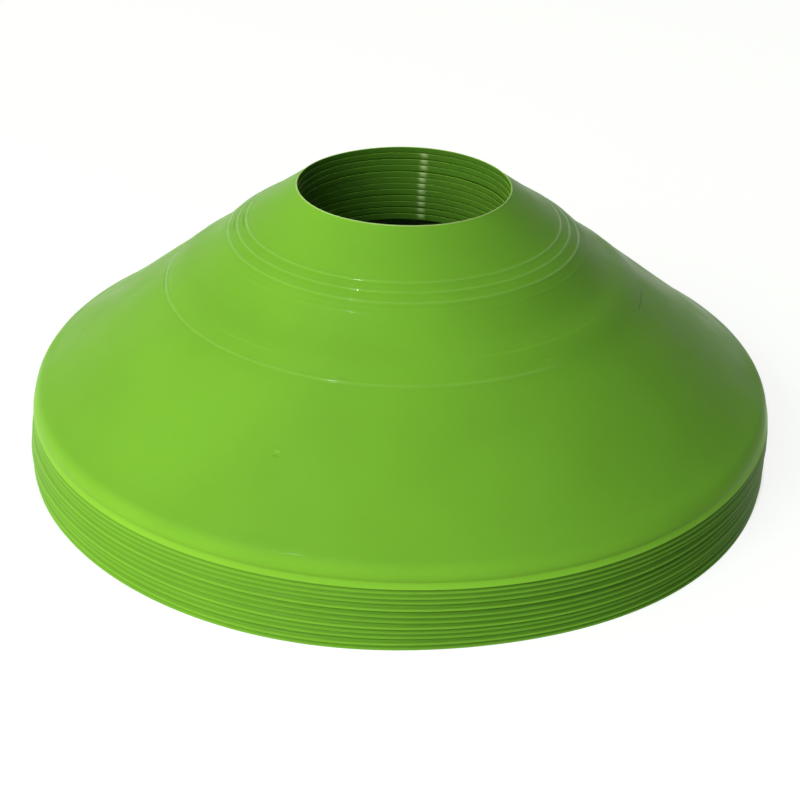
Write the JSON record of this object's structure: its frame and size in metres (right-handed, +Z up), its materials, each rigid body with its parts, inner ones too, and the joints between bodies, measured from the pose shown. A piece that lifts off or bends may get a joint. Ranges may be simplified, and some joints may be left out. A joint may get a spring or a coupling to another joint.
{
  "type": "stack of marker cones",
  "caption": "Stack of nested low disc marker cones in green plastic, each a thin sloping shell with a round hole in its top, fine raised rings and a short turned-down lip.",
  "frame": {"origin": "centre of the lowest cone's flat foot, on the surface that the stack stands on", "axes": "+Z up, along the axis that all the cones share; +X to the right and -Y towards the viewer of the picture"},
  "size_m": [0.19, 0.19, 0.0694],
  "materials": {
    "green_plastic": "satin, slightly translucent soft plastic"
  },
  "bodies": {
    "cone_01": {"cone_01": "green_plastic"},
    "cone_02": {"cone_02": "green_plastic"},
    "cone_03": {"cone_03": "green_plastic"},
    "cone_04": {"cone_04": "green_plastic"},
    "cone_05": {"cone_05": "green_plastic"},
    "cone_06": {"cone_06": "green_plastic"},
    "cone_07": {"cone_07": "green_plastic"},
    "cone_08": {"cone_08": "green_plastic"},
    "cone_09": {"cone_09": "green_plastic"},
    "cone_10": {"cone_10": "green_plastic"},
    "cone_11": {"cone_11": "green_plastic"},
    "cone_12": {"cone_12": "green_plastic"}
  },
  "joints": [
    {"name": "lift_02", "type": "slide", "parent": "cone_01", "child": "cone_02", "axis": [0, 0, 1], "range_m": [0, 0.06]},
    {"name": "lift_03", "type": "slide", "parent": "cone_02", "child": "cone_03", "axis": [0, 0, 1], "range_m": [0, 0.06]},
    {"name": "lift_04", "type": "slide", "parent": "cone_03", "child": "cone_04", "axis": [0, 0, 1], "range_m": [0, 0.06]},
    {"name": "lift_05", "type": "slide", "parent": "cone_04", "child": "cone_05", "axis": [0, 0, 1], "range_m": [0, 0.06]},
    {"name": "lift_06", "type": "slide", "parent": "cone_05", "child": "cone_06", "axis": [0, 0, 1], "range_m": [0, 0.06]},
    {"name": "lift_07", "type": "slide", "parent": "cone_06", "child": "cone_07", "axis": [0, 0, 1], "range_m": [0, 0.06]},
    {"name": "lift_08", "type": "slide", "parent": "cone_07", "child": "cone_08", "axis": [0, 0, 1], "range_m": [0, 0.06]},
    {"name": "lift_09", "type": "slide", "parent": "cone_08", "child": "cone_09", "axis": [0, 0, 1], "range_m": [0, 0.06]},
    {"name": "lift_10", "type": "slide", "parent": "cone_09", "child": "cone_10", "axis": [0, 0, 1], "range_m": [0, 0.06]},
    {"name": "lift_11", "type": "slide", "parent": "cone_10", "child": "cone_11", "axis": [0, 0, 1], "range_m": [0, 0.06]},
    {"name": "lift_12", "type": "slide", "parent": "cone_11", "child": "cone_12", "axis": [0, 0, 1], "range_m": [0, 0.06]}
  ]
}
